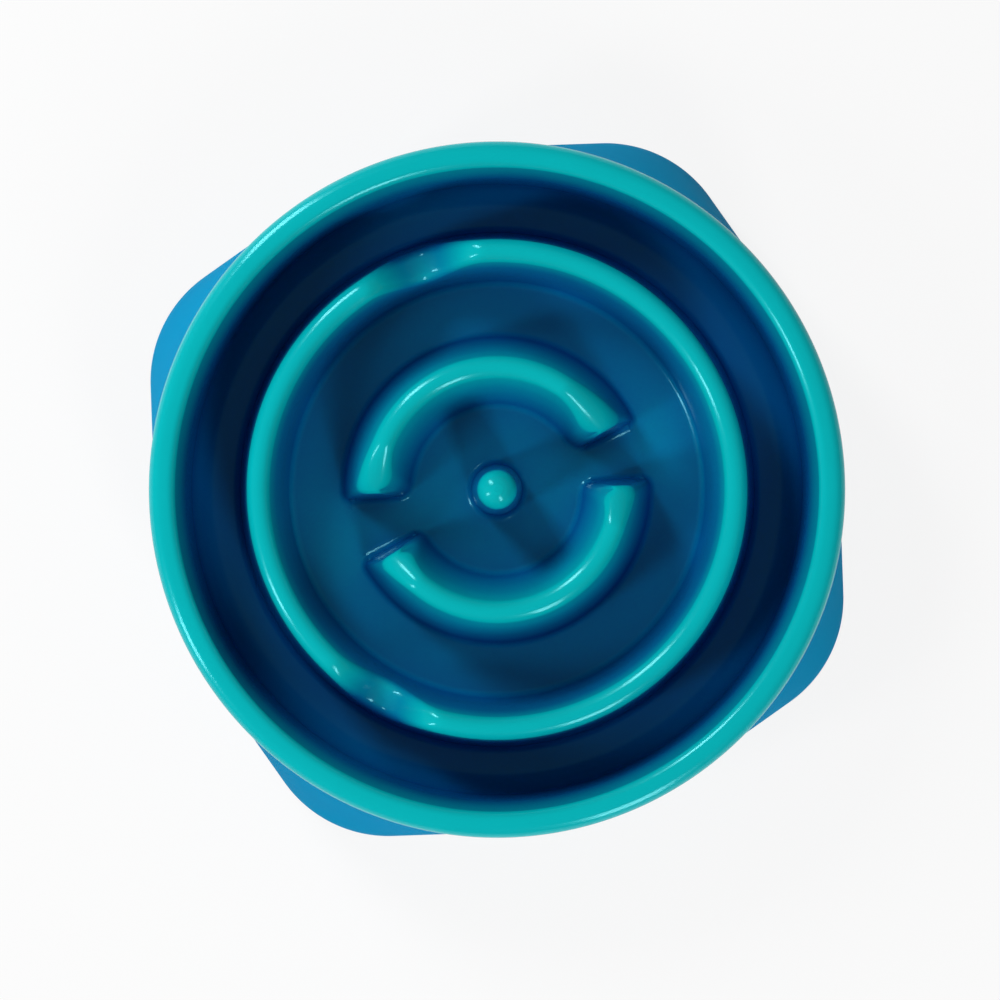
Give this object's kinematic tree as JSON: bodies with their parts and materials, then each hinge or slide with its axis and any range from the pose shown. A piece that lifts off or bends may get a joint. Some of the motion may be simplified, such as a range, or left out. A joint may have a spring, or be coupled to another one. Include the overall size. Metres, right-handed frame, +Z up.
{
  "type": "slow feeder bowl",
  "caption": "Round turquoise feeding bowl on a rounded square base; ring and arc ridges and a centre post rise from its floor to slow a pet's eating; rubber feet.",
  "frame": {"origin": "middle of the bowl on the table, at the underside of the rubber feet", "axes": "+Z up along the bowl's axis; the base's flat sides face +X, -X, +Y and -Y and its corners lie on the diagonals; the ring ridge's first saddle is towards +Y"},
  "size_m": [0.216, 0.216, 0.05],
  "materials": {
    "bowl_plastic": "glossy moulded turquoise plastic, slightly translucent, darker and bluer in the recesses",
    "foot_rubber": "matt dark rubber"
  },
  "bodies": {
    "root": {"bowl_shell": "bowl_plastic", "foot_front_right": "foot_rubber", "foot_back_right": "foot_rubber", "foot_back_left": "foot_rubber", "foot_front_left": "foot_rubber"}
  },
  "joints": []
}
